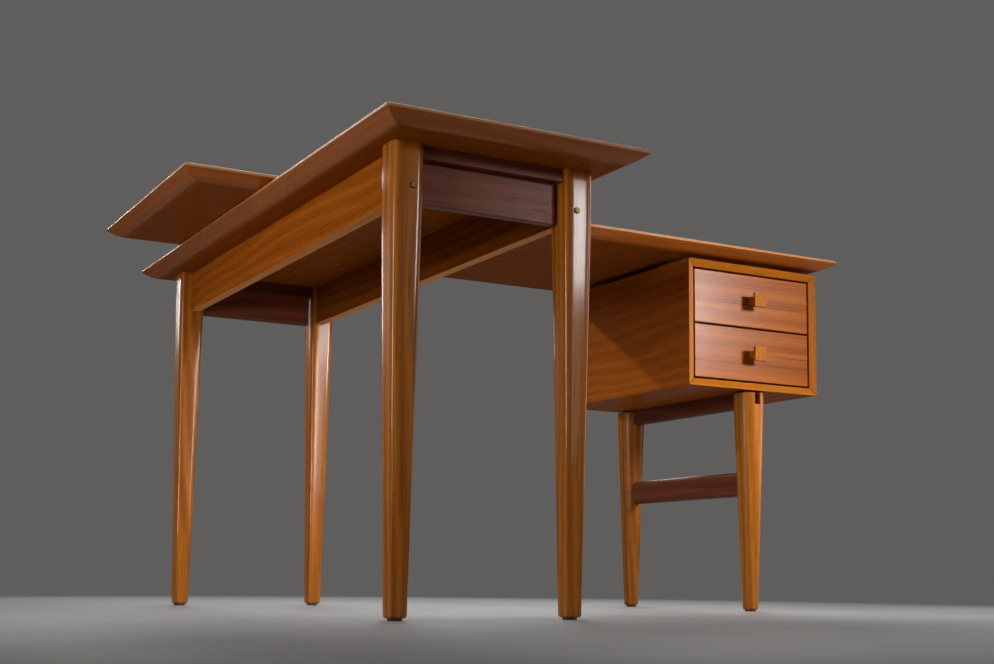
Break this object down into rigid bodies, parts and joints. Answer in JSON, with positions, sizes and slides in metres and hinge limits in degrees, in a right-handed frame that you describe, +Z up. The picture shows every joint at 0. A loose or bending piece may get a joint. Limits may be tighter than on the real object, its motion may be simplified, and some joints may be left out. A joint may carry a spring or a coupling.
{
  "type": "l-shaped desk",
  "caption": "Teak L-shaped desk: a leggy return table, a higher desk top laid across it, and a drawer pedestal on a turned H-frame under the far end.",
  "frame": {"origin": "on the floor below the middle of the desk's bounding box", "axes": "+X along the desk top towards the pedestal, +Y away from the sitter, +Z up"},
  "size_m": [1.397, 1.26, 0.73],
  "materials": {
    "teak": "satin lacquered teak",
    "red_teak": "darker, redder satin teak",
    "beech": "plain waxed beech",
    "plywood": "sanded plywood",
    "steel_fixings": "plain zinc-dulled steel",
    "brass_fixings": "tarnished brass",
    "glide_plastic": "worn black plastic"
  },
  "bodies": {
    "desk": {"apron_dowels": "beech", "barrel_nuts": "steel_fixings", "case_corner_keys": "beech", "desk_top_far_lipping": "teak", "desk_top_left_lipping": "teak", "desk_top_near_lipping": "teak", "desk_top_panel": "teak", "desk_top_right_lipping": "teak", "drawer_runners": "beech", "end_board_dowels": "beech", "end_rail_dowels": "beech", "foot_glides": "glide_plastic", "leg_bolts": "brass_fixings", "pedestal_back": "plywood", "pedestal_bottom": "teak", "pedestal_bridge_rail": "teak", "pedestal_frame_screws": "steel_fixings", "pedestal_front_leg": "teak", "pedestal_left_side": "teak", "pedestal_rear_leg": "teak", "pedestal_right_side": "teak", "pedestal_screws": "steel_fixings", "pedestal_spacer_front": "beech", "pedestal_spacer_rear": "beech", "pedestal_stretcher": "teak", "pedestal_top": "teak", "return_apron_left": "teak", "return_apron_right": "teak", "return_far_end_board": "red_teak", "return_far_rail": "red_teak", "return_leg_far_left": "teak", "return_leg_far_right": "teak", "return_leg_near_left": "teak", "return_leg_near_right": "teak", "return_near_end_board": "red_teak", "return_near_rail": "red_teak", "return_top_far_lipping": "teak", "return_top_left_lipping": "teak", "return_top_near_lipping": "teak", "return_top_panel": "teak", "return_top_right_lipping": "teak", "return_top_screws": "steel_fixings", "runner_screws": "steel_fixings", "top_joining_screws": "steel_fixings"},
    "upper_drawer": {"upper_drawer_back": "beech", "upper_drawer_bottom": "plywood", "upper_drawer_front": "teak", "upper_drawer_left_side": "beech", "upper_drawer_pull": "teak", "upper_drawer_pull_screw": "steel_fixings", "upper_drawer_right_side": "beech"},
    "lower_drawer": {"lower_drawer_back": "beech", "lower_drawer_bottom": "plywood", "lower_drawer_front": "teak", "lower_drawer_left_side": "beech", "lower_drawer_pull": "teak", "lower_drawer_pull_screw": "steel_fixings", "lower_drawer_right_side": "beech"}
  },
  "joints": [
    {"name": "upper_drawer_slide", "type": "slide", "parent": "desk", "child": "upper_drawer", "axis": [0, -1, 0], "range_m": [0, 0.3]},
    {"name": "lower_drawer_slide", "type": "slide", "parent": "desk", "child": "lower_drawer", "axis": [0, -1, 0], "range_m": [0, 0.3]}
  ]
}
